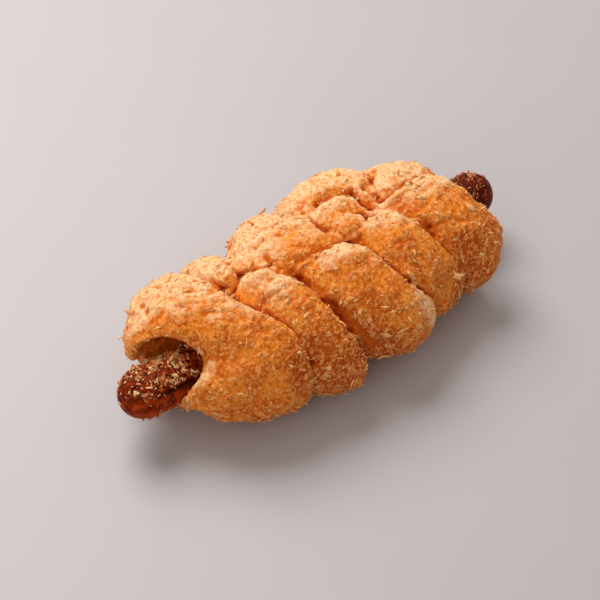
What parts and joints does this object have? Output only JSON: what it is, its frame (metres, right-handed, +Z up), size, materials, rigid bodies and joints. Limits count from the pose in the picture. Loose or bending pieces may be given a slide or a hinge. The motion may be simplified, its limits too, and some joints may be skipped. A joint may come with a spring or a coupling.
{
  "type": "sausage doughnut",
  "caption": "Plait of crumb-coated fried dough wrapped round a long sausage that sticks out at both ends.",
  "frame": {"origin": "centre of the bottom of the bounding box, on the surface that the doughnut lies on", "axes": "+X along the sausage, +Y across the plait to its far side, +Z up"},
  "size_m": [0.168, 0.0826, 0.0435],
  "materials": {
    "dough": "golden fried crust with pale breadcrumbs, satin",
    "sausage": "dark fried skin, slightly greasy"
  },
  "bodies": {
    "root": {"dough": "dough", "sausage": "sausage"}
  },
  "joints": []
}
